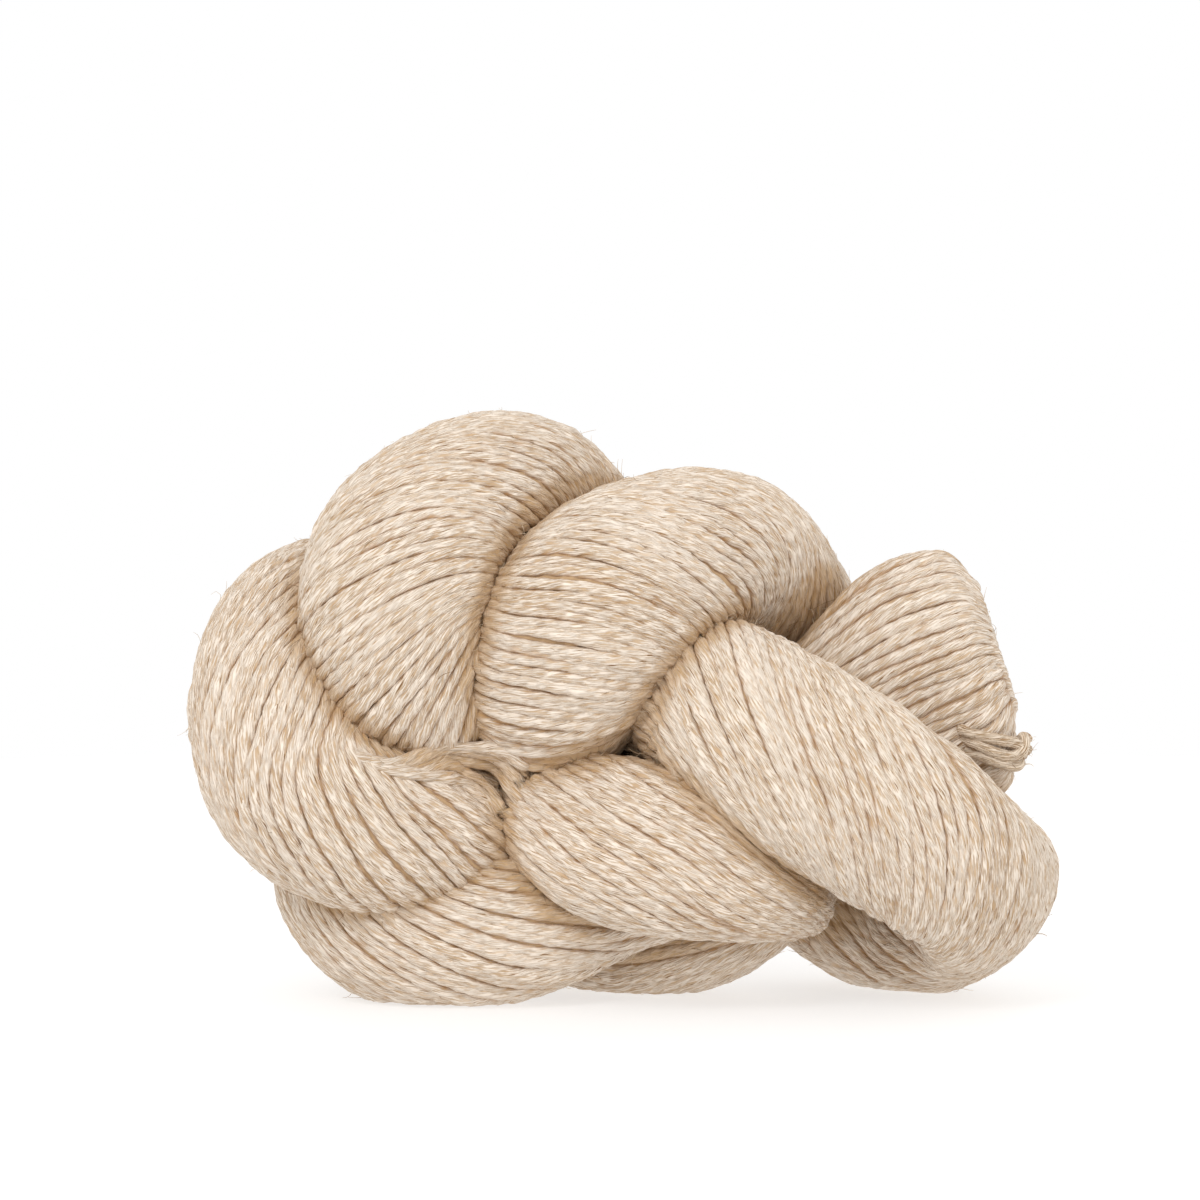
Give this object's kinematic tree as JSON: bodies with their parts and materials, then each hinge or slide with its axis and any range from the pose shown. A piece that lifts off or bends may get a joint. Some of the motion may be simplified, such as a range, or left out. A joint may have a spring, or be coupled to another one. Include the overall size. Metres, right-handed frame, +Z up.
{
  "type": "knitting yarn hank",
  "caption": "A hank of knitting yarn: a wound loop twisted up into a rope of two plies, bent in a ring and stood on its edge, with one looped end drawn through the eye of the other and closed with a small knot",
  "frame": {"origin": "on the table under the middle of the hank's box", "axes": "+X to the right along the hank's length, +Y away from the front, +Z up"},
  "size_m": [0.1735, 0.0901, 0.118],
  "materials": {
    "yarn": "natural undyed yarn, matte and slightly fuzzy",
    "tie": "natural undyed yarn, matte"
  },
  "bodies": {
    "root": {"hank": "yarn", "tie": "tie"}
  },
  "joints": []
}
